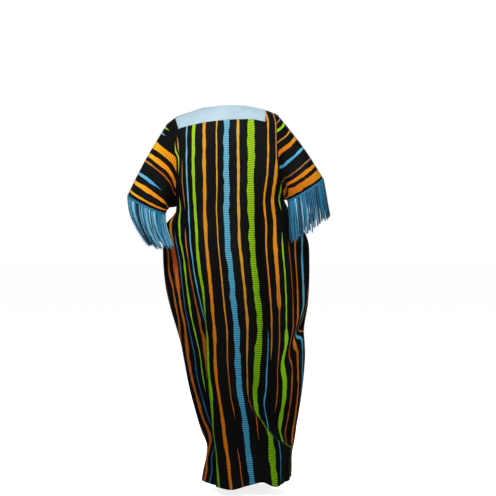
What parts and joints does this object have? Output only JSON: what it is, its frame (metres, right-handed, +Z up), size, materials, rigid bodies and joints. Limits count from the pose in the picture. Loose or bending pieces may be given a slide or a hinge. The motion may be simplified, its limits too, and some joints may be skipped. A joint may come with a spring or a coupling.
{
  "type": "kaftan",
  "caption": "Full-length loose kaftan in its worn shape: wide elbow sleeves edged with long fringe, square applied neck band, deep armholes, and a skirt that narrows to the hem.",
  "frame": {"origin": "midway between the wearer's shoulders, level with the cloth beside the neck, where the shoulders carry the kaftan", "axes": "+Z up, -Y the front, +X the wearer's left"},
  "size_m": [0.7602, 0.3158, 1.4531],
  "materials": {
    "striped_cloth": "matt woven cotton, black ground with lengthwise stripes",
    "band_cloth": "smooth plain woven cotton",
    "fringe_yarn": "soft lustrous twisted yarn"
  },
  "bodies": {
    "root": {"back_panel": "striped_cloth", "front_panel": "striped_cloth", "left_sleeve": "striped_cloth", "right_sleeve": "striped_cloth", "back_neck_band": "band_cloth", "front_neck_band": "band_cloth", "left_fringe": "fringe_yarn", "right_fringe": "fringe_yarn"}
  },
  "joints": []
}
